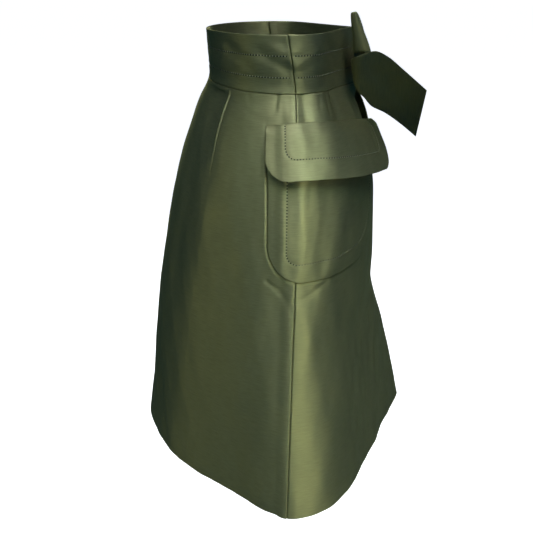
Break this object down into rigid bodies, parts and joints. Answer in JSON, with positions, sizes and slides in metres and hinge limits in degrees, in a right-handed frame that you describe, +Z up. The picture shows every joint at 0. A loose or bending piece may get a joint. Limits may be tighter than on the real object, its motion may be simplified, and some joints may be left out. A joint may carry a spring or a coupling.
{
  "type": "satin skirt",
  "caption": "Knee-length A-line satin skirt with a deep waistband, a bow over a centre-front pleat and flapped hip pockets, shown as its wearer holds it.",
  "frame": {"origin": "middle of the waist seam, on the wearer's vertical axis: the wearer's waist", "axes": "+Z up, the wearer faces -Y, and the wearer's left hand is on +X"},
  "size_m": [0.524, 0.442, 0.6396],
  "materials": {
    "satin": "olive duchess satin, soft sheen",
    "ribbon": "the same satin, doubled, with pressed edges"
  },
  "bodies": {
    "root": {"front": "satin", "back_left": "satin", "back_right": "satin", "band_front": "satin", "band_back_left": "satin", "band_back_right": "satin", "pocket_left": "satin", "pocket_right": "satin", "flap_left": "satin", "flap_right": "satin", "bow_loop_left": "ribbon", "bow_loop_right": "ribbon", "bow_tail_left": "ribbon", "bow_tail_right": "ribbon", "bow_knot": "ribbon"}
  },
  "joints": []
}
